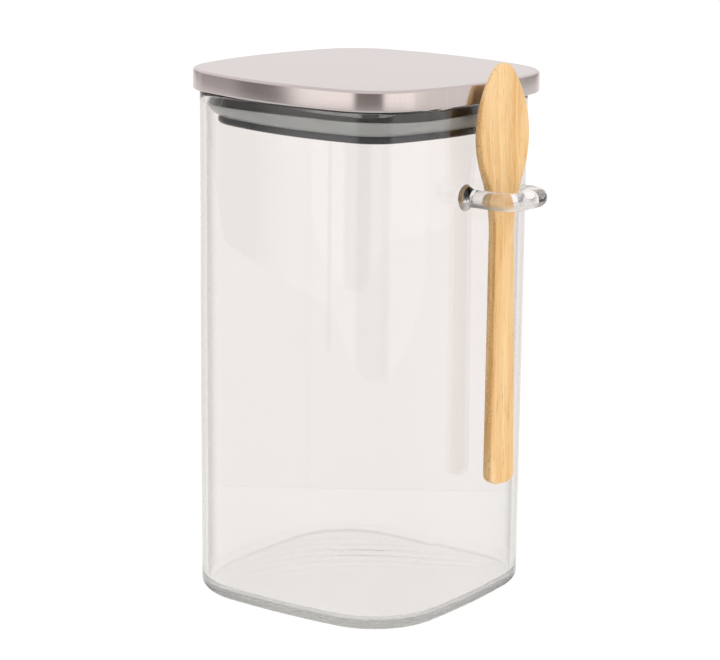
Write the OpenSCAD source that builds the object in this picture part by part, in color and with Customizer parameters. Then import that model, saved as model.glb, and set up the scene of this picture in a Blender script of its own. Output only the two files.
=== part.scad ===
/* [Jar] */
// Width of the glass jar across its flat sides at the mouth
jar_w = 100; // [90:1:110]
// Height of the glass jar from its base to its rim
jar_h = 180; // [170:1:240]
// Radius of the jar's four upright corners
jar_corner_r = 28; // [24:1:32]
// Radius of the slight outward bow of each side
jar_side_r = 285; // [240:5:400]
// How much each side leans in from the mouth to the base
jar_lean = 0.4; // [0.2:0.1:2]
// Thickness of the glass wall
wall_t = 2.2; // [1.8:0.1:2.4]
// Thickness of the glass floor
floor_t = 3.4; // [3:0.1:5]
// Radius of the rounded edge around the base
heel_r = 4; // [3.5:0.1:5]

/* [Lid] */
// How far the lid stands out past the jar's mouth on the flat sides
lid_overhang = 3; // [2:0.5:4]
// Height of the lid's outer rim
lid_h = 7.2; // [6:0.1:12]
// Radius of the lid's four corners
lid_corner_r = 24; // [22:1:28]
// Radius of the outward bow of each side of the lid
lid_side_r = 134; // [130:2:200]
// How far the lid sits turned on the jar, in degrees
lid_turn = -6; // [-6:1:0]
// Depth of the plug below the rim of the jar
plug_h = 11.7; // [11:0.1:14]

/* [Spoon and loop] */
// Height of the middle of the glass loop above the base
loop_z = 148.2; // [125:0.1:154]
// Thickness of the glass rod that the loop is bent from
rod_d = 6.2; // [5:0.1:6.2]
// Distance between the middles of the loop's two legs
loop_w = 19.8; // [19.8:0.1:23]
// How far the middle of the rod reaches out from the middle of the jar
loop_reach = 69; // [68:0.1:74]
// Where the middle of the loop sits along the side of the jar
loop_y = -0.2; // [-3:0.1:3]
// Length of the spoon
spoon_l = 147; // [140:1:160]
// Width of the spoon's bowl
bowl_w = 22; // [20:0.5:22]
// Width of the spoon's handle at its end
handle_w = 10.8; // [9.8:0.1:11]
// Thickness of the spoon's handle
spoon_t = 4.5; // [3.5:0.1:4.6]

/* [Hidden] */
$fn = 96;

glass = [0.86, 0.92, 0.92, 0.35];
steel = [0.74, 0.72, 0.70];
dark_steel = [0.30, 0.30, 0.31];
core_grey = [0.55, 0.56, 0.57];
silicone = [0.72, 0.74, 0.72, 0.8];
bamboo = [0.93, 0.74, 0.47];

// Every outline here is a square with bowed sides and round corners: [half width, side radius,
// corner radius]. Offsets from it are measured outwards, so an inset is negative.
jar_line = [jar_w / 2, jar_side_r, jar_corner_r];
lid_line = [jar_w / 2 + lid_overhang, lid_side_r, lid_corner_r];

// Steps that a side arc and a corner arc of an outline are drawn with
side_steps = 6;
corner_steps = 14;

// Gaps between pieces that rest on each other and between pieces that slide past each other
rest_gap = 0.05;
slide_gap = 0.3;

// Jar: bevel of the rim and the rounding inside the base
rim_bevel = 0.6;
inner_heel_r = 2.4;

// Lid: sheet thickness, the rounding of its top edge, and the levels and insets of the plug
sheet_t = 0.8;
lid_edge_r = 1.2;
lid_z = jar_h + rest_gap;
lid_shift = [0.5, 0.3];
lid_top = lid_z + lid_h;
brim_top = lid_z + sheet_t;
neck_in = 10;
flange_in = 8.5;
flange_z = jar_h - plug_h;
flange_h = 2.5;
seal_z = flange_z + flange_h;
bead_r = 1;

// Seal: height of its collar and web, and its lip that reaches up and out to the glass
collar_h = 3.6;
web_h = 1.4;
lip_lift = 0.3;
lip_top = jar_h - 4.1;
lip_t = 0.9;

// Loop: bend radius at its two corners and the flare of its fused feet
bend_r = 6.2;
foot_flare = 1.5;
foot_x = 44;

// Spoon: turned and leaning as it hangs, with its own lengths measured up from the handle's end
spoon_turn = -16;
spoon_lean = [0.8, 0.2];
spoon_at = [58.2, loop_y - 0.6, loop_z];
spoon_hang = loop_z - 47;
bowl_mid = spoon_l - 23.3;
tip_side_r = 37;
tip_r = 5.5;
shoulder_r = 38;
shoulder_a = 20;
shoulder_half = 7.3;
neck_r = 52;
end_r = 3.4;
thin_from = bowl_mid - 20;
tip_front = 0.6;
tip_back = 1.2;
dish_r = 95;
dish_deep = 0.9;

quarters = [0:90:270];

// Points along an arc about [x, y] from one angle to another
function arc(x, y, r, from, to, n = 6) =
    [for (i = [0:n]) let (t = from + (to - from) * i / n) [x + r * cos(t), y + r * sin(t)]];

// Middle of a corner arc, along X and Y alike, where side and corner arcs run smoothly together
function corner_mid(line) =
    let (s = line[1] - line[0], t = line[1] - line[2])
    (sqrt(2 * t * t - s * s) - s) / 2;

// Half the angle that a side arc spans, seen from its own centre
function side_angle(line) =
    let (c = corner_mid(line))
    atan2(c, c + line[1] - line[0]);

// How far the jar's outer face is inside its mouth's outline at a height
function lean_at(z) = -jar_lean * (1 - z / jar_h);

// Points around an outline at one offset and height, anticlockwise from above
function ring(line, offset, z, turn = 0) =
    let (c = corner_mid(line), j = side_angle(line), m = line[0] - line[1])
    [for (q = quarters)
        let (t = q + turn, x = c * (cos(t) - sin(t)), y = c * (sin(t) + cos(t)))
        each [
            for (p = arc(m * cos(t), m * sin(t), line[1] + offset, t - j, t + j, side_steps))
                [p[0], p[1], z],
            for (i = [1:corner_steps - 1])
                let (u = t + j + (90 - 2 * j) * i / corner_steps)
                [x + (line[2] + offset) * cos(u), y + (line[2] + offset) * sin(u), z]
        ]
    ];

// The same ring in the lid's place
function lid_ring(offset, z) =
    [for (p = ring(lid_line, offset, z, lid_turn)) [p[0] + lid_shift[0], p[1] + lid_shift[1], z]];

// Rings of one outline for a profile that lists [offset, height]
function rings_of(line, profile) = [for (p = profile) ring(line, p[0], p[1])];

// A skin stretched from ring to ring. It is capped at its first ring, facing down, and at its
// last, facing up, or it runs on from its last ring to its first when it goes around.
module loft(rings, around = false) {
    n = len(rings[0]);
    count = len(rings);
    last = around ? count - 1 : count - 2;
    skin = [for (i = [0:last], k = [0:n - 1])
        let (
            l = (k + 1) % n,
            low = i * n,
            high = (i + 1) % count * n
        )
        each [[low + k, high + k, high + l], [low + k, high + l, low + l]]
    ];
    caps = around ? [] : [
        [for (k = [0:n - 1]) k],
        [for (k = [n - 1:-1:0]) (count - 1) * n + k]
    ];
    polyhedron([for (r = rings) each r], concat(skin, caps), convexity = 6);
}

// The straight part of the jar's outer wall, from above the heel to below the rim
jar_wall = [
    [lean_at(heel_r), heel_r],
    [lean_at(jar_h - rim_bevel), jar_h - rim_bevel]
];

module glass_jar() {
    inner_mid = lean_at(floor_t) - wall_t - inner_heel_r;
    profile = concat(
        arc(lean_at(heel_r) - heel_r, heel_r, heel_r, -90, 0),
        [
            jar_wall[1],
            [-rim_bevel, jar_h],
            [rim_bevel - wall_t, jar_h],
            [-wall_t, jar_h - rim_bevel]
        ],
        arc(inner_mid, floor_t + inner_heel_r, inner_heel_r, 0, -90)
    );
    color(glass)
        loft(rings_of(jar_line, profile));
}

// The rod bent to a U, its two flared feet fused to the side of the jar
module spoon_loop() {
    half = loop_w / 2;
    leg_l = loop_reach - bend_r - foot_x;
    color(glass)
        difference() {
            translate([0, loop_y, loop_z]) {
                for (s = [-1, 1])
                    translate([foot_x, s * half, 0])
                        rotate([0, 90, 0]) {
                            cylinder(h = leg_l, d = rod_d);
                            foot();
                        }
                for (s = [0, 1])
                    mirror([0, s, 0])
                        translate([loop_reach - bend_r, half - bend_r, 0])
                            rotate_extrude(angle = 90)
                                translate([bend_r, 0])
                                    circle(d = rod_d, $fn = 48);
                translate([loop_reach, bend_r - half, 0])
                    rotate([-90, 0, 0])
                        cylinder(h = loop_w - 2 * bend_r, d = rod_d);
            }
            loft(rings_of(jar_line, jar_wall));
        }
}

// Where a leg of the loop spreads out on the glass
module foot() {
    wide = rod_d / 2 + foot_flare;
    out = jar_w / 2 - foot_x + foot_flare;
    rotate_extrude()
        polygon(concat(
            [[0, out], [0, 0], [wide, 0]],
            arc(wide, out, foot_flare, -90, -180)
        ));
}

// Where the lid sits on the jar, turned and a little to one side
module lid_place() {
    translate([lid_shift[0], lid_shift[1], 0])
        rotate([0, 0, lid_turn])
            children();
}

module lid_cap() {
    profile = concat(
        [
            [-sheet_t, lid_top - sheet_t],
            [-sheet_t, lid_z],
            [0, lid_z]
        ],
        arc(-lid_edge_r, lid_top - lid_edge_r, lid_edge_r, 0, 90, 4)
    );
    color(steel)
        lid_place()
            loft(rings_of(lid_line, profile));
}

// The filler that stiffens the lid, inside the cap and down into the plug
module lid_core() {
    color(core_grey)
        lid_place()
            loft(rings_of(lid_line, [
                [-neck_in - sheet_t, flange_z + sheet_t],
                [-neck_in - sheet_t, brim_top],
                [-sheet_t, brim_top],
                [-sheet_t, lid_top - sheet_t]
            ]));
}

// The pressed pan under the lid: a rounded bead at the bottom, a straight neck and a flat brim
module lid_plug() {
    bead_mid = -flange_in - bead_r;
    profile = concat(
        arc(bead_mid, flange_z + bead_r, bead_r, -90, 0, 4),
        arc(bead_mid, seal_z - bead_r, bead_r, 0, 90, 4),
        [
            [-neck_in, seal_z],
            [-neck_in, lid_z],
            [-sheet_t, lid_z],
            [-sheet_t, brim_top],
            [-neck_in - sheet_t, brim_top],
            [-neck_in - sheet_t, flange_z + sheet_t]
        ]
    );
    color(dark_steel)
        lid_place()
            loft(rings_of(lid_line, profile));
}

// The soft ring around the plug's neck. Its lip follows the mouth of the jar, not the turned lid.
module sealing_ring() {
    rim_in = lean_at(lip_top) - wall_t - slide_gap;
    color(silicone)
        loft([
            lid_ring(-neck_in, seal_z),
            lid_ring(-flange_in - bead_r, seal_z),
            lid_ring(-flange_in, seal_z + lip_lift),
            ring(jar_line, rim_in, lip_top),
            ring(jar_line, rim_in - lip_t, lip_top),
            lid_ring(-flange_in, seal_z + web_h),
            lid_ring(-flange_in, seal_z + collar_h),
            lid_ring(-neck_in, seal_z + collar_h)
        ], around = true);
}

// Outline of the spoon, width along X and length along Y: its handle widens downwards from the
// neck, and the bowl's shoulders run from a straight slope into round sides and a blunt tip
module spoon_outline() {
    half = bowl_w / 2;
    tip_y = bowl_mid + sqrt(pow(tip_side_r - tip_r, 2) - pow(tip_side_r - half, 2));
    tip_a = atan2(tip_y - bowl_mid, tip_side_r - half);
    slope_h = (half - shoulder_r * (1 - cos(shoulder_a)) - shoulder_half) / tan(shoulder_a);
    neck_x = shoulder_half + neck_r * cos(shoulder_a);
    neck_y = bowl_mid - (shoulder_r + neck_r) * sin(shoulder_a) - slope_h;
    right = concat(
        arc(handle_w / 2 - end_r, end_r, end_r, -90, 0),
        arc(neck_x, neck_y, neck_r, 180, 180 - shoulder_a),
        arc(half - shoulder_r, bowl_mid, shoulder_r, -shoulder_a, 0),
        arc(half - tip_side_r, bowl_mid, tip_side_r, 5, tip_a, 8),
        arc(0, tip_y, tip_r, tip_a + 10, 90)
    );
    polygon(concat(right, [for (i = [len(right) - 2:-1:0]) [-right[i][0], right[i][1]]]));
}

// Side view of the spoon: the handle at full thickness, the bowl thinning to its tip
module spoon_side() {
    half = spoon_t / 2;
    polygon([
        [-half, 0],
        [half, 0],
        [half, thin_from],
        [tip_front, spoon_l],
        [-tip_back, spoon_l],
        [-half, thin_from]
    ]);
}

module spoon() {
    dish_x = tip_front + (spoon_t / 2 - tip_front) * (spoon_l - bowl_mid) / (spoon_l - thin_from);
    color(bamboo)
        translate(spoon_at)
            rotate([spoon_lean[0], spoon_lean[1], spoon_turn])
                translate([0, 0, -spoon_hang])
                    difference() {
                        intersection() {
                            rotate([90, 0, 90])
                                translate([0, 0, -spoon_t])
                                    linear_extrude(2 * spoon_t)
                                        spoon_outline();
                            rotate([90, 0, 0])
                                translate([0, 0, -bowl_w])
                                    linear_extrude(2 * bowl_w)
                                        spoon_side();
                        }
                        translate([dish_x - dish_deep + dish_r, 0, bowl_mid])
                            sphere(dish_r, $fn = 180);
                    }
}

glass_jar();
spoon_loop();
lid_cap();
lid_core();
lid_plug();
sealing_ring();
spoon();
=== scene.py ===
"""A lidded glass canister with a bamboo spoon in a glass loop, built around its CAD frame."""

import math

import bpy
import numpy as np
from mathutils import Matrix, Vector


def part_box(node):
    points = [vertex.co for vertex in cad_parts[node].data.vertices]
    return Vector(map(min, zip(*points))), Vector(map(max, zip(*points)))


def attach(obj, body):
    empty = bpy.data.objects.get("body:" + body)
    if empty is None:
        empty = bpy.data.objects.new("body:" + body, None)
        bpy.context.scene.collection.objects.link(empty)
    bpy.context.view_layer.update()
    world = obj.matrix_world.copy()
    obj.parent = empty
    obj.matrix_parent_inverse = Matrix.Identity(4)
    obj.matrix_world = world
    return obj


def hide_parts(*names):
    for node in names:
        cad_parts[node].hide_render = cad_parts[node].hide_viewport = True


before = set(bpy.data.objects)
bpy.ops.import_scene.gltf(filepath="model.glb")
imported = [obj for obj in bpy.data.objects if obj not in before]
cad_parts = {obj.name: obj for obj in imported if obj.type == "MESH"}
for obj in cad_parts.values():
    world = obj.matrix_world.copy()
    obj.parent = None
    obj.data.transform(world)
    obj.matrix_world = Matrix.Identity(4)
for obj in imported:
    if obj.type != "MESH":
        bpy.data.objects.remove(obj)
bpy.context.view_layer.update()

MM = 0.001

# Outlines seen from above, each a square with bowed sides and round corners
JAR_SIDE_R = 285 * MM
JAR_CORNER_R = 28 * MM
JAR_LEAN = 0.4 * MM         # how far the walls lean in, from the rim down to the base
LID_HALF = 53 * MM
LID_SIDE_R = 134 * MM
LID_CORNER_R = 24 * MM
LID_TURN = math.radians(-6)

# Glass
WALL = 2.2 * MM
FLOOR = 3.4 * MM
HEEL_R = 4.0 * MM
INNER_HEEL_R = 2.6 * MM
SHARP_ANGLE = math.radians(32)

# Lid, plug and sealing ring
CAP_EDGE_R = 1.2 * MM
SHEET = 0.8 * MM
NECK_IN = 10 * MM           # how far inside the lid's outline the plug's neck runs
BEAD_IN = 8.5 * MM          # and its bead
BEAD_R = 1.0 * MM
BEAD_HEIGHT = 2.5 * MM
LIP_GAP = 0.3 * MM
LIP_DROP = 4.1 * MM         # from the jar's rim down to the ring's lip
LIP_THICK = 0.9 * MM
HAIR = 0.02 * MM            # a gap too fine to see

# Loop
ROD_R = 3.1 * MM
BEND_R = 6.2 * MM
FOOT_FLARE = 1.5 * MM

# Spoon
SPOON_TURN = math.radians(-16)
SPOON_LEAN_ASIDE = math.radians(0.8)
SPOON_LEAN_OUT = math.radians(0.2)
SPOON_X = 58.2 * MM
SPOON_BESIDE_LOOP = 0.6 * MM
SPOON_END_Z = 47 * MM
SPOON_THICK = 4.5 * MM
SPOON_LENGTH = 147 * MM
BOWL_W = 22 * MM
BOWL_MID = SPOON_LENGTH - 23.3 * MM
HANDLE_W = 10.8 * MM
SPOON_ROUND_R = 0.8 * MM

jar_lo, jar_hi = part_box("glass_jar")
cap_lo, cap_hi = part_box("lid_cap")
plug_lo, plug_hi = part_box("lid_plug")
seal_lo, seal_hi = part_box("sealing_ring")
loop_lo, loop_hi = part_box("spoon_loop")

JAR_HALF = (jar_hi.x - jar_lo.x) / 2
RIM_Z = jar_hi.z
LID_CENTRE = ((cap_lo.x + cap_hi.x) / 2, (cap_lo.y + cap_hi.y) / 2)
LOOP_Y = (loop_lo.y + loop_hi.y) / 2
LOOP_Z = (loop_lo.z + loop_hi.z) / 2


# ---------------------------------------------------------------- shapes


def arc(x, y, radius, start, end, steps):
    """Points along an arc about (x, y), with its angles in degrees."""
    angles = [math.radians(start + (end - start) * i / steps) for i in range(steps + 1)]
    return [(x + radius * math.cos(a), y + radius * math.sin(a)) for a in angles]


class Outline:
    """A square with bowed sides and round corners, which can be turned and moved."""

    side_steps = 20
    corner_steps = 36

    def __init__(self, half, side_r, corner_r, turn=0.0, centre=(0.0, 0.0)):
        self.half, self.side_r, self.corner_r = half, side_r, corner_r
        self.turn, self.centre = turn, centre
        s, t = side_r - half, side_r - corner_r
        self.corner_mid = (math.sqrt(2 * t * t - s * s) - s) / 2
        self.side_angle = math.atan2(self.corner_mid, self.corner_mid + side_r - half)

    def ring(self, offset, z):
        """Points around the outline, moved outwards by offset, anticlockwise from above."""
        back = self.half - self.side_r
        side_r, corner_r = self.side_r + offset, self.corner_r + offset
        span = math.pi / 2 - 2 * self.side_angle
        points = []
        for quarter in range(4):
            a = quarter * math.pi / 2 + self.turn
            ca, sa = math.cos(a), math.sin(a)
            for i in range(self.side_steps + 1):
                u = a + self.side_angle * (2 * i / self.side_steps - 1)
                points.append((back * ca + side_r * math.cos(u), back * sa + side_r * math.sin(u)))
            mid_x, mid_y = self.corner_mid * (ca - sa), self.corner_mid * (sa + ca)
            for i in range(1, self.corner_steps):
                u = a + self.side_angle + span * i / self.corner_steps
                points.append((mid_x + corner_r * math.cos(u), mid_y + corner_r * math.sin(u)))
        return [Vector((x + self.centre[0], y + self.centre[1], z)) for x, y in points]


jar_line = Outline(JAR_HALF, JAR_SIDE_R, JAR_CORNER_R)
lid_line = Outline(LID_HALF, LID_SIDE_R, LID_CORNER_R, LID_TURN, LID_CENTRE)


def lean_at(z):
    """How far outside its outline the jar's wall stands, which is negative below the rim."""
    return -JAR_LEAN * (1 - z / RIM_Z)


def shrink(ring, keep):
    """The same ring drawn in towards its middle."""
    mid = sum(ring, Vector()) / len(ring)
    return [mid + (p - mid) * keep for p in ring]


def fill_in(ring, steps, smallest=0.04):
    """Rings from the edge of a flat face in to the smallest, which a fan then closes."""
    return [shrink(ring, 1 - (1 - smallest) * i / steps) for i in range(1, steps + 1)]


def smooth(mesh):
    for polygon in mesh.polygons:
        polygon.use_smooth = True


def new_object(name, verts, faces):
    mesh = bpy.data.meshes.new(name)
    mesh.from_pydata([tuple(v) for v in verts], [], faces)
    mesh.validate()
    mesh.update()
    smooth(mesh)
    obj = bpy.data.objects.new(name, mesh)
    bpy.context.scene.collection.objects.link(obj)
    return obj


def loft(name, rings, around=False):
    """A skin from ring to ring, closed with a fan at each end or running round to its start."""
    n = len(rings[0])
    verts = [p for ring in rings for p in ring]
    faces = []
    for i in range(len(rings) if around else len(rings) - 1):
        low, high = i * n, (i + 1) % len(rings) * n
        for k in range(n):
            j = (k + 1) % n
            faces.append((low + k, low + j, high + j, high + k))
    if not around:
        for first, ring, flip in ((0, rings[0], True), ((len(rings) - 1) * n, rings[-1], False)):
            verts.append(sum(ring, Vector()) / n)
            middle = len(verts) - 1
            for k in range(n):
                j = (k + 1) % n
                edge = (first + j, first + k) if flip else (first + k, first + j)
                faces.append((*edge, middle))
    return new_object(name, verts, faces)


# ---------------------------------------------------------------- glass


def ripple(x, y):
    """Height of the faint ripples that the mould leaves in the jar's floor.

    A band of arched waves crosses the diagonal towards the jar's back corner, and a wide
    swell lies under them. All of it fades out before the walls.
    """
    diagonal = 0.7
    band_from, bow, bow_middle = 0.018, 7, -0.003
    waves, wobble, wobbles = 900, 1.5, 70
    band_at, band_width, band_length = 0.004, 0.011, 0.034
    fade_reach = 0.044
    wave_mm, swell_mm = 0.13, 0.12

    along = (x + y) * diagonal
    across = (y - x) * diagonal - band_from + bow * (along - bow_middle) ** 2
    wave = math.sin(across * waves + wobble * math.sin(along * wobbles))
    wave *= math.exp(-((across - band_at) / band_width) ** 2)
    wave *= math.exp(-(along / band_length) ** 2)
    swell = math.sin(x * 75 + 1.2) * math.sin(y * 63 + 0.4)
    fade = max(0.0, 1 - (max(abs(x), abs(y)) / fade_reach) ** 4)
    return (wave_mm * wave + swell_mm * swell) * fade * MM


def rippled(rings, depth):
    return [[Vector((p.x, p.y, p.z + depth * ripple(p.x, p.y))) for p in ring] for ring in rings]


def jar_rings():
    """From the middle of the base out, up the wall, over the rim and down to the floor's middle."""
    wall_steps = 60
    base_steps, base_ripple = 30, -0.25
    floor_steps, floor_ripple = 40, 1.0

    heel = arc(lean_at(HEEL_R) - HEEL_R, HEEL_R, HEEL_R, -90, 0, 12)
    base = jar_line.ring(*heel[0])
    rings = rippled(list(reversed(fill_in(base, base_steps))), base_ripple)
    rings = [[Vector((p.x, p.y, max(p.z, 0.0))) for p in ring] for ring in rings]
    rings += [jar_line.ring(*p) for p in heel]
    top = RIM_Z - WALL / 2
    for i in range(1, wall_steps):
        z = HEEL_R + (top - HEEL_R) * i / wall_steps
        rings.append(jar_line.ring(lean_at(z), z))
    rings += [jar_line.ring(*p) for p in arc(-WALL / 2, top, WALL / 2, 0, 180, 14)]
    low = FLOOR + INNER_HEEL_R
    for i in range(1, wall_steps):
        z = top + (low - top) * i / wall_steps
        rings.append(jar_line.ring(lean_at(z) - WALL, z))
    inner = arc(lean_at(low) - WALL - INNER_HEEL_R, low, INNER_HEEL_R, 0, -90, 10)
    rings += [jar_line.ring(*p) for p in inner]
    rings += rippled(fill_in(rings[-1], floor_steps), floor_ripple)
    return rings


def loop_path(root, reach, half):
    """The rod's middle line, seen from above: out along one leg, across, and back."""
    leg_steps, bend_steps, end_steps = 30, 16, 8
    path = []
    for i in range(leg_steps):
        path.append((root + (reach - BEND_R - root) * i / leg_steps, -half))
    path += arc(reach - BEND_R, BEND_R - half, BEND_R, -90, 0, bend_steps)
    straight = 2 * (half - BEND_R)
    path += [(reach, BEND_R - half + straight * i / end_steps) for i in range(1, end_steps)]
    path += arc(reach - BEND_R, half - BEND_R, BEND_R, 0, 90, bend_steps)
    for i in range(1, leg_steps + 1):
        path.append((reach - BEND_R + (root - reach + BEND_R) * i / leg_steps, half))
    return path


def loop_tube():
    """The rod bent to a U, with flared feet that end inside the jar's wall."""
    sides = 40
    flare_length = 2.2 * FOOT_FLARE
    flare_curve = 2.2
    unevenness = 0.012
    into_wall = 0.45            # of the wall's thickness

    wall_x = JAR_HALF + lean_at(LOOP_Z)
    half = (loop_hi.y - loop_lo.y) / 2 - ROD_R - FOOT_FLARE
    path = loop_path(wall_x - WALL * into_wall, loop_hi.x - ROD_R, half)
    rings = []
    for i, (px, py) in enumerate(path):
        before, after = path[max(i - 1, 0)], path[min(i + 1, len(path) - 1)]
        ahead = Vector((after[0] - before[0], after[1] - before[1], 0)).normalized()
        side = Vector((ahead.y, -ahead.x, 0))
        near_wall = min(max(0.0, 1 - (px - wall_x) / flare_length), 1.0)
        on_leg = abs(py) > half - 0.1 * MM
        radius = ROD_R + (FOOT_FLARE * near_wall ** flare_curve if on_leg else 0)
        radius *= 1 + unevenness * math.sin(px * 900 + py * 700)
        centre = Vector((px, LOOP_Y + py, LOOP_Z))
        rings.append([
            centre + radius * (math.cos(a) * side + math.sin(a) * Vector((0, 0, 1)))
            for a in (2 * math.pi * k / sides for k in range(sides))
        ])
    return loft("loop_rod", rings)


def join_solid(obj, other):
    """Fuses other into obj, so that the two make one closed surface."""
    modifier = obj.modifiers.new("join", "BOOLEAN")
    modifier.operation = "UNION"
    modifier.solver = "EXACT"
    modifier.object = other
    graph = bpy.context.evaluated_depsgraph_get()
    joined = bpy.data.meshes.new_from_object(obj.evaluated_get(graph))
    obj.modifiers.clear()
    obj.data = joined
    bpy.data.objects.remove(other)
    smooth(joined)
    joined.set_sharp_from_angle(angle=SHARP_ANGLE)


# ---------------------------------------------------------------- lid


def cap_rings():
    """From the cap's ceiling down inside the skirt, round its hem, up, and over the top."""
    top, low = cap_hi.z, cap_lo.z
    hem = 0.35 * MM
    ease = 0.3 * MM
    inner = lid_line.ring(-SHEET, top - SHEET)
    rings = list(reversed(fill_in(inner, 3, 0.5)))
    rings.append(inner)
    rings.append(lid_line.ring(-SHEET, low + hem))
    rings += [lid_line.ring(-SHEET / 2 + x, low + hem + y) for x, y in arc(0, 0, hem, 180, 360, 8)]
    rings += [lid_line.ring(0, z) for z in (low + 2 * hem, top - CAP_EDGE_R - hem)]
    edge = arc(-CAP_EDGE_R, top - CAP_EDGE_R, CAP_EDGE_R, 0, 90, 10)
    rings += [lid_line.ring(*p) for p in edge]
    face = lid_line.ring(-CAP_EDGE_R - ease, top)
    rings.append(face)
    rings += fill_in(face, 6)
    return rings


def plug_rings():
    """From the underside's middle round the bead, up the neck, out to the cap, and down inside."""
    low, brim = plug_lo.z, plug_hi.z
    ease = 0.3 * MM
    mid = -BEAD_IN - BEAD_R
    profile = arc(mid, low + BEAD_R, BEAD_R, -90, 0, 8)
    profile += arc(mid, low + BEAD_HEIGHT - BEAD_R, BEAD_R, 0, 90, 8)
    profile += [(-NECK_IN - HAIR, low + BEAD_HEIGHT), (-NECK_IN, low + BEAD_HEIGHT + ease)]
    profile += [(-NECK_IN, brim - SHEET - ease), (-NECK_IN, brim - SHEET)]
    profile += [(-SHEET, brim - SHEET), (-SHEET, brim)]
    profile += [(-NECK_IN - SHEET, brim), (-NECK_IN - SHEET, low + SHEET)]
    rings = [lid_line.ring(*p) for p in profile]
    return list(reversed(fill_in(rings[0], 6))) + rings


def blend_rings(a, b, t, bow):
    """Part of the way from one ring to another, bowed down in between."""
    sag = Vector((0, 0, -bow * math.sin(math.pi * t)))
    return [p.lerp(q, t) + sag for p, q in zip(a, b)]


def seal_rings():
    """Round the ring's section: under its foot, out along the lip, over, and back to the neck."""
    low, rim = seal_lo.z, seal_hi.z
    foot_in = BEAD_IN + 0.6 * MM
    under_bow, over_bow = 0.55 * MM, -0.35 * MM
    shoulder_z = rim - 0.8 * MM - 1.5 * MM
    neck_z = rim - 0.8 * MM - 1.3 * MM
    lip_z = RIM_Z - LIP_DROP
    lip = lean_at(lip_z) - WALL - LIP_GAP
    lip_top = lip_z - 0.2 * MM

    root = lid_line.ring(-BEAD_IN, low + 0.3 * MM)
    edge = jar_line.ring(lip, lip_z - 0.4 * MM)
    back = lid_line.ring(-BEAD_IN, low + 1.4 * MM)
    inside = jar_line.ring(lip - LIP_THICK, lip_top)
    rings = [lid_line.ring(-NECK_IN + HAIR, low), lid_line.ring(-foot_in, low)]
    rings += [blend_rings(root, edge, t, under_bow) for t in (0, 0.2, 0.4, 0.6, 0.8, 1)]
    rings += [jar_line.ring(lip - LIP_THICK / 2 + x, lip_top + y * 0.5)
              for x, y in arc(0, 0, LIP_THICK / 2, 20, 160, 6)]
    rings += [blend_rings(inside, back, t, over_bow) for t in (0, 0.25, 0.5, 0.75, 1)]
    rings += [lid_line.ring(-BEAD_IN, shoulder_z)]
    rings += [lid_line.ring(-NECK_IN + HAIR, neck_z)]
    return rings


# ---------------------------------------------------------------- spoon


def spoon_side():
    """The spoon's right-hand outline from its handle's end to its tip, as (half width, height)."""
    half = BOWL_W / 2
    end_r, tip_r, side_r = 3.4 * MM, 5.5 * MM, 37 * MM
    shoulder_r, shoulder_a, shoulder_half, neck_r = 38 * MM, 20, 7.3 * MM, 52 * MM

    tip_y = BOWL_MID + math.sqrt((side_r - tip_r) ** 2 - (side_r - half) ** 2)
    tip_a = math.degrees(math.atan2(tip_y - BOWL_MID, side_r - half))
    c, s = math.cos(math.radians(shoulder_a)), math.sin(math.radians(shoulder_a))
    slope = (half - shoulder_r * (1 - c) - shoulder_half) * c / s
    neck_y = BOWL_MID - (shoulder_r + neck_r) * s - slope
    points = [(0.0, 0.0)]
    points += arc(HANDLE_W / 2 - end_r, end_r, end_r, -90, 0, 14)
    points += arc(shoulder_half + neck_r * c, neck_y, neck_r, 180, 180 - shoulder_a, 20)
    points += arc(half - shoulder_r, BOWL_MID, shoulder_r, -shoulder_a, 0, 16)
    points += arc(half - side_r, BOWL_MID, side_r, 2, tip_a, 24)
    points += arc(0, tip_y, tip_r, tip_a + 3, 90, 16)
    return points


def to_edge(points, edge):
    """How far each point lies from a closed outline."""
    a, b = edge, np.roll(edge, -1, 0)
    ab = b - a
    t = ((points[:, None] - a) * ab).sum(2) / np.maximum((ab ** 2).sum(1), 1e-18)
    near = a + np.clip(t, 0, 1)[..., None] * ab
    return np.linalg.norm(points[:, None] - near, axis=2).min(1)


def spoon_grid(side):
    """Points across and along the spoon's outline, closer together towards its edges and ends."""
    rows, columns = 170, 29
    crowding = 0.25
    widths = np.array([p[0] for p in side])
    heights = np.maximum.accumulate(np.array([p[1] for p in side]))
    length = heights[-1]
    turn = np.linspace(0, math.pi, rows + 1)
    crowded = length * (1 - np.cos(turn)) / 2
    z_rows = crowding * crowded + (1 - crowding) * np.linspace(0, length, rows + 1)
    ends = np.array([0.02, 0.08, 0.2, 0.4, 0.7]) * MM
    z_rows = np.unique(np.concatenate([ends, z_rows[1:-1], length - ends]))
    across = np.sin(np.linspace(-math.pi / 2, math.pi / 2, columns))
    grid = np.array([(np.interp(z, heights, widths) * s, z) for z in z_rows for s in across])
    return grid, len(z_rows), columns


def spoon_faces(rows, columns, back):
    """Faces over the grid's front, its back, its two sides and its two ends."""
    faces = []
    for r in range(rows - 1):
        for k in range(columns - 1):
            a, b = r * columns + k, r * columns + k + 1
            c, d = (r + 1) * columns + k + 1, (r + 1) * columns + k
            faces.append((a, b, c, d))
            faces.append((back + b, back + a, back + d, back + c))
        for k in (0, columns - 1):
            a, d = r * columns + k, (r + 1) * columns + k
            faces.append((back + a, a, d, back + d) if k == 0 else (a, back + a, back + d, d))
    for r in (0, rows - 1):
        for k in range(columns - 1):
            a, b = r * columns + k, r * columns + k + 1
            faces.append((back + a, back + b, b, a) if r == 0 else (a, b, back + b, back + a))
    return faces


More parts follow.
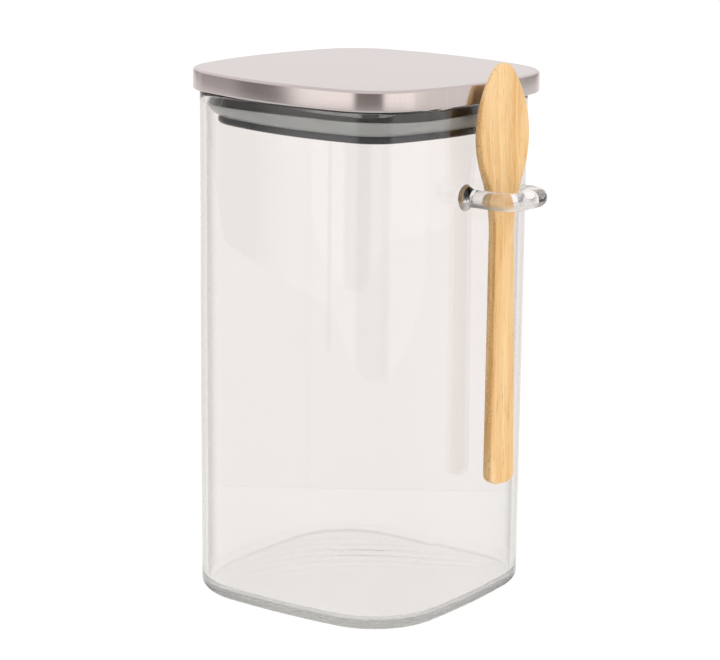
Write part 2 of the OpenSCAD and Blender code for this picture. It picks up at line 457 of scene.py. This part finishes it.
def spoon_mesh():
    """The flat spoon: rounded edges, a bowl that thins to its tip, and a shallow dish in front."""
    half_t = SPOON_THICK / 2
    thin_from = BOWL_MID - 20 * MM
    tip_front, tip_back = 0.6 * MM, 1.2 * MM
    dish_half_w, dish_half_l, dish_depth = BOWL_W * 0.43, 17.5 * MM, 0.75 * MM
    edge_fall = 0.8
    wear = 0.05 * MM

    side = spoon_side()
    grid, rows, columns = spoon_grid(side)
    deep = to_edge(grid, np.array([(w, h) for w, h in side] + [(-w, h) for w, h in reversed(side)]))
    left = np.clip(SPOON_ROUND_R - deep, 0, SPOON_ROUND_R)
    fall = SPOON_ROUND_R - np.sqrt(np.maximum(SPOON_ROUND_R ** 2 - left ** 2, 0))
    u, z = grid[:, 0], grid[:, 1]
    thin = np.clip((z - thin_from) / (SPOON_LENGTH - thin_from), 0, 1)
    thin = thin * thin * (3 - 2 * thin) * 0.5 + thin * 0.5
    front = half_t + (tip_front - half_t) * thin
    back = -half_t + (half_t - tip_back) * thin
    dish = 1 - (u / dish_half_w) ** 2 - ((z - BOWL_MID) / dish_half_l) ** 2
    dish = dish_depth * np.clip(dish, 0, 1) ** 0.8
    worn = wear * np.sin(z * 210 + u * 300)
    front_x = front - fall * edge_fall - dish + worn * (deep > SPOON_ROUND_R)
    back_x = back + fall * edge_fall
    verts = [(front_x[i], u[i], z[i]) for i in range(len(grid))]
    verts += [(back_x[i], u[i], z[i]) for i in range(len(grid))]
    return verts, spoon_faces(rows, columns, len(grid))


def build_spoon():
    """The spoon in its place in the loop, turned and leaning slightly."""
    obj = new_object("bamboo_spoon", *spoon_mesh())
    place = Matrix.Translation((SPOON_X, LOOP_Y - SPOON_BESIDE_LOOP, LOOP_Z))
    turn = Matrix.Rotation(SPOON_TURN, 4, "Z") @ Matrix.Rotation(SPOON_LEAN_OUT, 4, "Y")
    lean = Matrix.Rotation(SPOON_LEAN_ASIDE, 4, "X")
    hang = LOOP_Z - SPOON_END_Z
    obj.matrix_world = place @ turn @ lean @ Matrix.Translation((0, 0, -hang))
    return obj


# ---------------------------------------------------------------- materials


class Nodes:
    """A short way to write a material's node tree."""

    def __init__(self, name):
        self.material = bpy.data.materials.new(name)
        self.material.use_nodes = True
        self.tree = self.material.node_tree
        self.shader = self.tree.nodes["Principled BSDF"]

    def add(self, kind, settings=(), **inputs):
        node = self.tree.nodes.new(kind)
        for key, value in dict(settings).items():
            setattr(node, key, value)
        for key, value in inputs.items():
            self.put(node.inputs[key.replace("_", " ")], value)
        return node

    def put(self, socket, value):
        if isinstance(value, bpy.types.NodeSocket):
            self.tree.links.new(value, socket)
        else:
            socket.default_value = value

    def set(self, **inputs):
        for key, value in inputs.items():
            self.put(self.shader.inputs[key.replace("_", " ")], value)

    def axes(self, kind):
        """The x, y and z of a texture coordinate."""
        where = self.add("ShaderNodeTexCoord").outputs[kind]
        return self.add("ShaderNodeSeparateXYZ", Vector=where).outputs

    def noise(self, scale, detail=3.0, rough=0.5, distortion=0.0):
        """Noise with so many features to the metre along x, y and z."""
        where = self.add("ShaderNodeTexCoord")
        mapping = self.add("ShaderNodeMapping", Vector=where.outputs["Object"])
        mapping.inputs["Scale"].default_value = scale
        node = self.add("ShaderNodeTexNoise", Vector=mapping.outputs["Vector"])
        node.inputs["Scale"].default_value = 1.0
        node.inputs["Detail"].default_value = detail
        node.inputs["Roughness"].default_value = rough
        node.inputs["Distortion"].default_value = distortion
        return node.outputs["Fac"]

    def ramp(self, factor, stops):
        node = self.add("ShaderNodeValToRGB", Fac=factor)
        ramp = node.color_ramp
        while len(ramp.elements) < len(stops):
            ramp.elements.new(0.5)
        for element, (place, colour) in zip(ramp.elements, stops):
            element.position = place
            element.color = (*colour, 1)
        return node.outputs["Color"]

    def mix(self, factor, a, b):
        node = self.add("ShaderNodeMix", {"data_type": "RGBA"})
        self.put(node.inputs[0], factor)
        self.put(node.inputs[6], a if isinstance(a, bpy.types.NodeSocket) else (*a, 1))
        self.put(node.inputs[7], b if isinstance(b, bpy.types.NodeSocket) else (*b, 1))
        return node.outputs[2]

    def span(self, value, low, high):
        """value, stretched from 0 to 1 onto low to high."""
        node = self.add("ShaderNodeMapRange", Value=value)
        node.inputs["To Min"].default_value = low
        node.inputs["To Max"].default_value = high
        return node.outputs["Result"]

    def window(self, value, start, end):
        """0 at start, rising smoothly to 1 at end, which may be the lower of the two."""
        node = self.add("ShaderNodeMapRange", {"interpolation_type": "SMOOTHSTEP"}, Value=value)
        node.inputs["From Min"].default_value = start
        node.inputs["From Max"].default_value = end
        return node.outputs["Result"]

    def math(self, operation, a, b=0.0):
        node = self.add("ShaderNodeMath", {"operation": operation})
        self.put(node.inputs[0], a)
        self.put(node.inputs[1], b)
        return node.outputs[0]

    def bump(self, height, distance):
        node = self.add("ShaderNodeBump", Height=height)
        node.inputs["Distance"].default_value = distance
        node.inputs["Strength"].default_value = 1.0
        self.set(Normal=node.outputs["Normal"])


def glass_material():
    """Clear glass with painted shade that darkens its colour where an upright wall is seen edge on,
    and a worn, rough heel whose tint is whitened as painted light.
    """
    # The first colour below is painted shade for upright walls seen edge on.
    edge_painted_shade_colour = (0.40, 0.385, 0.375)
    # The heel colour below is painted light that whitens the heel; the heel roughness is wear.
    heel_painted_light_colour, worn_roughness = (1.0, 0.99, 0.97), 0.62
    m = Nodes("clear_glass")
    m.set(Transmission_Weight=1.0, IOR=1.47)
    tint = m.noise((14, 14, 9), detail=1)
    clear = m.ramp(tint, [(0.3, (0.89, 0.879, 0.872)), (0.7, (0.90, 0.889, 0.882))])
    up = m.axes("Normal")["Z"]
    upright = m.window(m.math("ABSOLUTE", up), 0.6, 0.3)
    # Painted shade: where an upright wall is seen edge on, its colour is darkened.
    edge = m.window(m.add("ShaderNodeLayerWeight", Blend=0.5).outputs["Facing"], 0.45, 0.8)
    # Mask for downward faces at the heel: it carries the rough wear and the painted light of a
    # whitened tint.
    heel_wear_and_painted_light = m.window(up, -0.12, -0.35)
    # Painted light: the heel's tint is whitened to brighten it.
    clear = m.mix(heel_wear_and_painted_light, clear, heel_painted_light_colour)
    # The painted shade is mixed into the glass colour here.
    m.set(Base_Color=m.mix(m.math("MULTIPLY", upright, edge), clear, edge_painted_shade_colour))
    m.set(Roughness=m.math("MULTIPLY", heel_wear_and_painted_light, worn_roughness))
    m.bump(m.noise((55, 55, 18), detail=1), 0.04 * MM)
    depth = m.add("ShaderNodeVolumeAbsorption", Color=(0.3, 0.34, 0.3, 1), Density=3.5)
    m.tree.links.new(depth.outputs[0], m.tree.nodes["Material Output"].inputs["Volume"])
    return m.material


def brushed_steel():
    """Steel brushed along and around, a little uneven in its shine."""
    m = Nodes("brushed_steel")
    around = m.noise((30, 30, 9000), detail=2)
    along = m.noise((5200, 60, 60), detail=2)
    soft = m.noise((22, 22, 22), detail=2)
    streak = m.mix(0.5, around, along)
    steel = m.ramp(streak, [(0.3, (0.465, 0.42, 0.412)), (0.7, (0.51, 0.462, 0.455))])
    m.set(Metallic=1.0, Base_Color=steel)
    uneven = m.math("ADD", m.math("MULTIPLY", streak, 0.7), m.math("MULTIPLY", soft, 0.3))
    m.set(Roughness=m.span(uneven, 0.13, 0.23))
    m.bump(streak, 0.004 * MM)
    return m.material


def shade_painted_steel():
    """Polished steel whose colour is darkened as painted shade, and almost black round the bead at
    the bottom as painted shade too.
    """
    bead_top = plug_lo.z + 2.3 * MM
    # Painted shade: the bead's colour is almost black.
    bead_painted_shade_colour = (0.02, 0.022, 0.028)
    m = Nodes("polished_steel_painted_shade")
    worn = m.noise((90, 90, 400), detail=3)
    # Painted shade: the steel's colour is kept very dark, as if the plug stood in the lid's shadow.
    steel = m.ramp(worn, [(0.3, (0.125, 0.125, 0.13)), (0.7, (0.16, 0.16, 0.165))])
    above_bead = m.window(m.axes("Object")["Z"], bead_top, bead_top + 0.4 * MM)
    # Below the bead's top the painted shade colour is used.
    m.set(Metallic=1.0, Base_Color=m.mix(above_bead, bead_painted_shade_colour, steel))
    m.set(Roughness=m.span(worn, 0.04, 0.09))
    m.bump(m.noise((200, 200, 900), detail=2), 0.003 * MM)
    return m.material


def silicone():
    """Pale translucent silicone."""
    m = Nodes("silicone")
    cloud = m.noise((180, 180, 260), detail=3)
    m.set(Base_Color=m.ramp(cloud, [(0.3, (0.60, 0.625, 0.61)), (0.7, (0.68, 0.70, 0.685))]))
    m.set(Roughness=m.span(m.noise((500, 500, 500)), 0.32, 0.45))
    m.set(Subsurface_Weight=0.25, Subsurface_Scale=0.002, Coat_Weight=0.25, Coat_Roughness=0.2)
    m.bump(m.noise((900, 900, 1400), detail=2), 0.01 * MM)
    return m.material


def filler():
    """The grey filling inside the lid."""
    m = Nodes("lid_filler")
    grain = m.noise((600, 600, 600), detail=3)
    m.set(Base_Color=m.ramp(grain, [(0.3, (0.26, 0.27, 0.275)), (0.7, (0.31, 0.32, 0.325))]))
    m.set(Roughness=m.span(grain, 0.5, 0.7))
    m.bump(grain, 0.02 * MM)
    return m.material


def bamboo():
    """Fine fibres along the spoon, with bands, pale patches, flecks, and dots on its sides."""
    pale_band, deep_band = (0.93, 0.62, 0.30), (0.72, 0.39, 0.125)
    patch_colour, fleck_colour = (0.96, 0.69, 0.375), (0.48, 0.25, 0.08)
    dot_colour = (0.42, 0.24, 0.10)
    m = Nodes("bamboo")
    fibres = m.noise((900, 1500, 22), detail=4, rough=0.6, distortion=0.15)
    bands = m.noise((160, 330, 7), detail=2)
    patches = m.noise((70, 90, 16), detail=2, distortion=0.6)
    fibre_colour = m.ramp(fibres, [
        (0.36, (0.66, 0.35, 0.11)), (0.48, (0.82, 0.50, 0.20)), (0.64, (0.92, 0.62, 0.30))])
    band_colour = m.mix(m.window(bands, 0.38, 0.62), pale_band, deep_band)
    colour = m.mix(0.45, fibre_colour, band_colour)
    patched = m.math("MULTIPLY", m.window(patches, 0.35, 0.65), 0.6)
    colour = m.mix(patched, colour, patch_colour)
    flecks = m.window(m.noise((1500, 2600, 120), detail=2, rough=0.7), 0.58, 0.68)
    colour = m.mix(m.math("MULTIPLY", flecks, 0.5), colour, fleck_colour)
    side = m.window(m.math("ABSOLUTE", m.axes("Normal")["X"]), 0.75, 0.45)
    dots = m.window(m.noise((1900, 1900, 1300), detail=1), 0.5, 0.62)
    dotted = m.math("MULTIPLY", m.math("MULTIPLY", side, dots), 0.45)
    m.set(Base_Color=m.mix(dotted, colour, dot_colour))
    m.set(Roughness=m.span(fibres, 0.42, 0.62))
    m.bump(fibres, 0.08 * MM)
    return m.material


def floor_material():
    """A faintly glowing pale floor, with a fine seam behind the jar and a warmer tone past it."""
    seam_across, seam_at, seam_soft = (-0.551, 0.834, 0), 0.117, 0.0004
    near_glow, far_glow, seam_glow = (1.0, 0.992, 0.978), (0.985, 0.955, 0.942), (0.82, 0.80, 0.79)
    m = Nodes("pale_floor")
    paper = m.noise((30, 30, 30), detail=2)
    where = m.add("ShaderNodeTexCoord").outputs["Object"]
    split = m.add("ShaderNodeVectorMath", {"operation": "DOT_PRODUCT"}, Vector=where)
    split.inputs[1].default_value = seam_across
    past = split.outputs["Value"]
    far = m.window(past, seam_at - seam_soft, seam_at + seam_soft)
    near_colour = m.ramp(paper, [(0.3, (0.13, 0.129, 0.128)), (0.7, (0.14, 0.139, 0.138))])
    far_colour = m.ramp(paper, [(0.3, (0.13, 0.127, 0.125)), (0.7, (0.14, 0.137, 0.135))])
    m.set(Base_Color=m.mix(far, near_colour, far_colour), Roughness=0.9)
    m.set(Specular_IOR_Level=0.0, Emission_Strength=0.95)
    from_seam = m.math("ABSOLUTE", m.math("SUBTRACT", past, seam_at))
    crease = m.math("MULTIPLY", m.window(from_seam, 0.0008, 0.0003), 0.6)
    m.set(Emission_Color=m.mix(crease, m.mix(far, near_glow, far_glow), seam_glow))
    return m.material


# ---------------------------------------------------------------- studio


class Studio(Nodes):
    """The world's node tree.

    The camera sees plain white. A ray that has been mirrored once sees a pattern of pale panels
    with dim gaps between them, unless it has also come through one to three faces of glass. All
    other rays see a soft white that is a little dimmer at the sides. Angles are in degrees,
    round from +x and up from the horizon.
    """

    # Each panel's first and last direction, how soft its edges are, and its strength
    panels = ((-129, -85, 5, 1.42), (-38, 18, 4, 1.42), (19, 60, 4, 0.9))
    panel_heights = (-15, 16)
    panel_colour = (1.0, 0.975, 0.95, 1)

    # The backdrop: first and last direction and softness of each stretch, and its colour
    back_colour = (1.02, 0.985, 0.975)
    stretches = (
        ((-153, 62, 6), (0.33, 0.305, 0.295)),
        ((-176, -153, 5), (0.60, 0.57, 0.555)),
        ((62, 96, 5), (0.60, 0.57, 0.555)),
        ((158, 190, 5), (0.62, 0.59, 0.575)),
    )
    ceiling_colour, ground_colour = (1.2, 1.16, 1.15), (0.92, 0.905, 0.895)

    soft_side, soft_above, soft_below = (0.94, 0.93, 0.925), (1.12, 1.10, 1.09), (1.07, 1.06, 1.045)
    seen_colour = (1.04, 1.04, 1.04, 1)

    def __init__(self):
        world = bpy.data.worlds.new("studio")
        bpy.context.scene.world = world
        world.use_nodes = True
        self.tree = world.node_tree
        self.tree.nodes.clear()

    def direction(self):
        x, y, z = self.axes("Generated")
        around = self.math("MULTIPLY", self.math("ARCTAN2", y, x), 180 / math.pi)
        up = self.math("MULTIPLY", self.math("ARCSINE", z), 180 / math.pi)
        return around, up

    def between(self, value, low, high, soft):
        rise = self.window(value, low - soft, low + soft)
        fall = self.window(value, high - soft, high + soft)
        return self.math("SUBTRACT", rise, fall)

    def light(self, colour, strength=1.0):
        return self.add("ShaderNodeBackground", Color=colour, Strength=strength)

    def join(self, kind, first, second, **inputs):
        """Two shaders added together, or one or the other by a factor."""
        node = self.add(kind, **inputs)
        start = len(node.inputs) - 2
        self.tree.links.new(first.outputs[0], node.inputs[start])
        self.tree.links.new(second.outputs[0], node.inputs[start + 1])
        return node

    def pattern(self, around, up):
        """The panels, on a backdrop that is dim in front, under a white ceiling."""
        dome = self.back_colour
        for place, colour in self.stretches:
            dome = self.mix(self.between(around, *place), dome, colour)
        dome = self.mix(self.window(up, 9, 24), dome, self.ceiling_colour)
        dome = self.mix(self.window(up, -14, -18), dome, self.ground_colour)
        power = 0.0
        for start, end, soft, strength in self.panels:
            wide = self.between(around, start, end, soft)
            tall = self.between(up, *self.panel_heights, 1.0)
            panel = self.math("MULTIPLY", self.math("MULTIPLY", wide, tall), strength)
            power = self.math("ADD", power, panel)
        return self.join(
            "ShaderNodeAddShader", self.light(dome), self.light(self.panel_colour, power))

    def build(self):
        around, up = self.direction()
        pattern = self.pattern(around, up)
        white = self.mix(self.window(up, 5, 30), self.soft_side, self.soft_above)
        white = self.mix(self.window(up, 0, -5), white, self.soft_below)
        path = self.add("ShaderNodeLightPath").outputs
        once = self.math("COMPARE", path["Glossy Depth"], 1.0)
        through = self.math("SUBTRACT", path["Transmission Depth"], 2.0)
        straight = self.math("GREATER_THAN", self.math("ABSOLUTE", through), 1.5)
        mirrored = self.math("MULTIPLY", once, straight)
        studio = self.join("ShaderNodeMixShader", self.light(white), pattern, Fac=mirrored)
        both = self.join(
            "ShaderNodeMixShader", studio, self.light(self.seen_colour), Fac=path["Is Camera Ray"])
        out = self.add("ShaderNodeOutputWorld")
        self.tree.links.new(both.outputs[0], out.inputs["Surface"])


def build_floor():
    """A disc that reaches furthest behind the jar, so that its edge stays out of view."""
    steps, radius, centre, below = 180, 1.0, (-0.33, 0.50), 0.1 * MM
    verts = [(centre[0] + radius * math.cos(a), centre[1] + radius * math.sin(a), -below)
             for a in (2 * math.pi * i / steps for i in range(steps))]
    floor = new_object("studio_floor", verts, [tuple(range(steps))])
    floor.data.materials.append(floor_material())


def build_camera():
    """The camera stands at azimuth round from -y, and yaw turns it off the object's axis."""
    azimuth, yaw, pitch, roll = (math.radians(a) for a in (35.712, -2.713, 11.950, 1.165))
    distance, height = 0.8897, 0.29834
    data = bpy.data.cameras.new("camera")
    data.sensor_width = 36
    data.lens = 127.65
    data.shift_x, data.shift_y = -0.169, -0.0614
    data.clip_start, data.clip_end = 0.05, 50
    camera = bpy.data.objects.new("camera", data)
    bpy.context.scene.collection.objects.link(camera)
    at = Vector((distance * math.sin(azimuth), -distance * math.cos(azimuth), height))
    aim = Matrix.Rotation(azimuth + yaw, 4, "Z") @ Matrix.Rotation(math.pi / 2 - pitch, 4, "X")
    camera.matrix_world = Matrix.Translation(at) @ aim @ Matrix.Rotation(roll, 4, "Z")
    bpy.context.scene.camera = camera


# ---------------------------------------------------------------- assembly


def give(obj, material):
    obj.data.materials.clear()
    obj.data.materials.append(material)


def finish_piece(obj, material, body, slot, *nodes):
    give(obj, material)
    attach(obj, body)
    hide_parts(*nodes)


glass = loft("glass_body", jar_rings())
join_solid(glass, loop_tube())
cap = loft("lid_cap_shell", cap_rings())
plug = loft("lid_plug_pan", plug_rings())
seal = loft("seal_lip_ring", seal_rings(), around=True)
finish_piece(glass, glass_material(), "jar", "glass", "glass_jar", "spoon_loop")
finish_piece(cap, brushed_steel(), "lid", "lid_steel", "lid_cap")
finish_piece(plug, shade_painted_steel(), "lid", "plug_steel", "lid_plug")
finish_piece(seal, silicone(), "lid", "seal", "sealing_ring")
finish_piece(build_spoon(), bamboo(), "spoon_body", "bamboo", "spoon")
give(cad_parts["lid_core"], filler())

build_floor()
build_camera()
Studio().build()

scene = bpy.context.scene
scene.view_settings.view_transform = "Standard"
scene.cycles.max_bounces = 40
scene.cycles.transmission_bounces = 40
scene.cycles.glossy_bounces = 32
